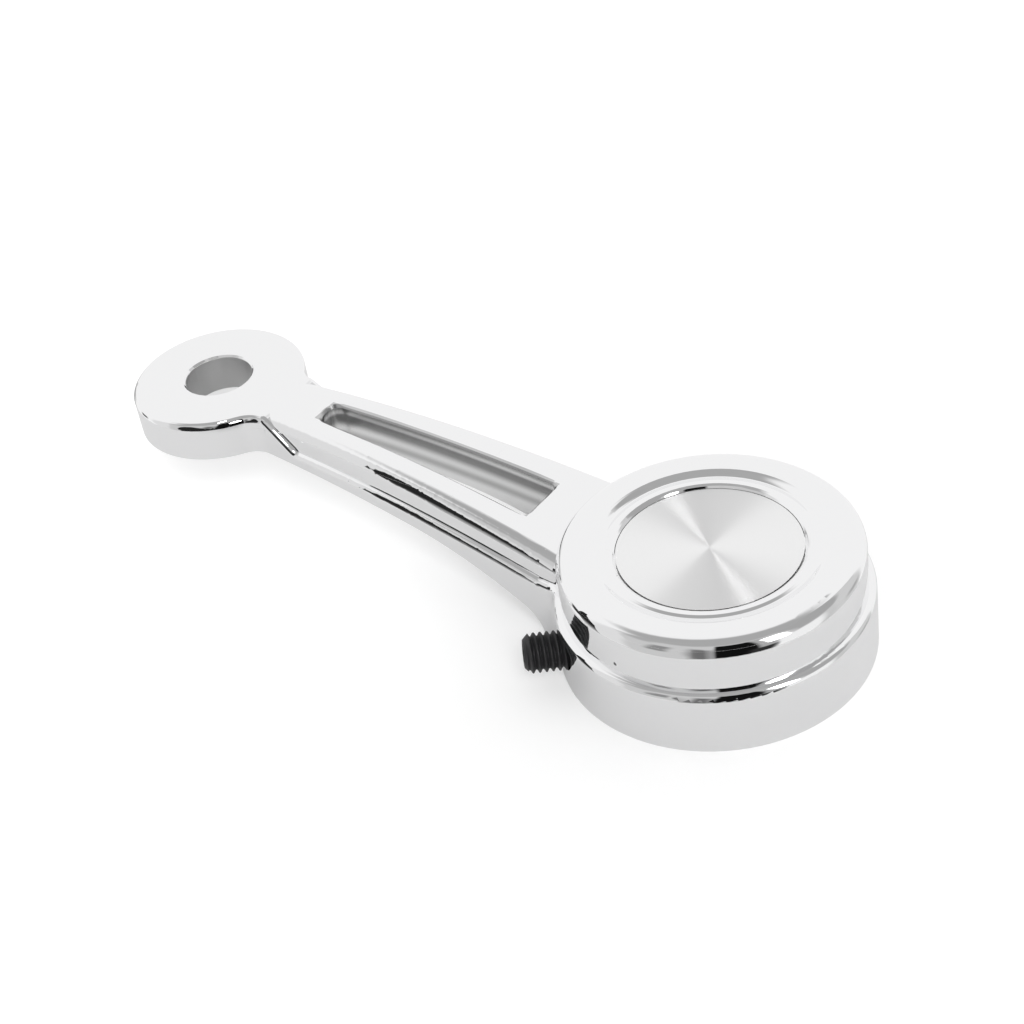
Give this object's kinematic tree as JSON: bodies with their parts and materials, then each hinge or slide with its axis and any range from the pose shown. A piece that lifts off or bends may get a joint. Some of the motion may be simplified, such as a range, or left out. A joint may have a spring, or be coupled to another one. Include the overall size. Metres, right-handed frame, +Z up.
{
  "type": "crank handle",
  "caption": "Chromed crank handle: a round stepped hub with a spun face disc and a side set screw, and a slotted tapering arm that ends in an eye for a knob.",
  "frame": {"origin": "centre of the hub's flat base, on the shaft's axis", "axes": "+Z up along the shaft's axis, out of the hub's face; +X along the arm, from the hub to the eye"},
  "size_m": [0.1087, 0.0382, 0.0158],
  "materials": {
    "crank_body": "polished chrome plate",
    "face_disc": "spun, fine rings round the centre",
    "set_screw": "black oxide"
  },
  "bodies": {
    "crank": {"crank_body": "crank_body", "face_disc": "face_disc"},
    "screw": {"set_screw": "set_screw"}
  },
  "joints": [
    {"name": "screw_travel", "type": "slide", "parent": "crank", "child": "screw", "axis": [0.7403, 0.6666, 0.0872], "range_m": [-0.0095, 0.001]}
  ]
}
